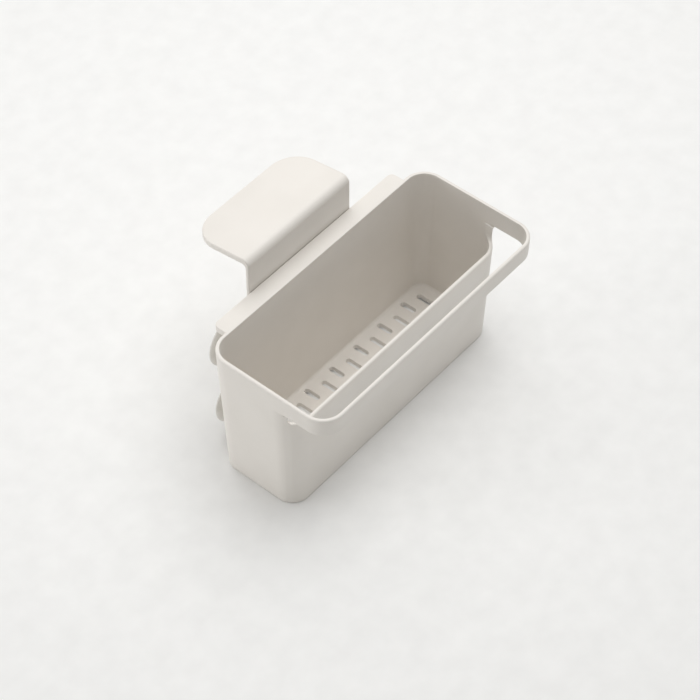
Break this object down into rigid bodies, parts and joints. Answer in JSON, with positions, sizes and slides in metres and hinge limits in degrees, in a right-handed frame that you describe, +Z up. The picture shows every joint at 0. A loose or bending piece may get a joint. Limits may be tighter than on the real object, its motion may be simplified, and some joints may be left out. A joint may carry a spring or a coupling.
{
  "type": "kitchen sink caddy",
  "caption": "Moulded sink caddy with drain slots, a free rail in front for a cloth, a sliding hook that hangs on the sink's edge, and suction cups behind.",
  "frame": {"origin": "under the middle of the caddy's overall box, on the surface that its foot stands on", "axes": "+X along the trough, +Y from the cloth rail to the sink wall behind, +Z up"},
  "size_m": [0.2118, 0.1584, 0.1375],
  "materials": {
    "moulded_plastic": "fine matt moulded texture, warm off-white",
    "soft_cup": "smooth soft vinyl, slightly milky"
  },
  "bodies": {
    "basket": {"basket": "moulded_plastic", "suction_cup_upper_left": "soft_cup", "suction_cup_upper_right": "soft_cup", "suction_cup_lower_left": "soft_cup", "suction_cup_lower_right": "soft_cup"},
    "hook": {"hanger_hook": "moulded_plastic"}
  },
  "joints": [
    {"name": "hook_slide", "type": "slide", "parent": "basket", "child": "hook", "axis": [1, 0, 0], "range_m": [-0.0319, 0.0391]}
  ]
}
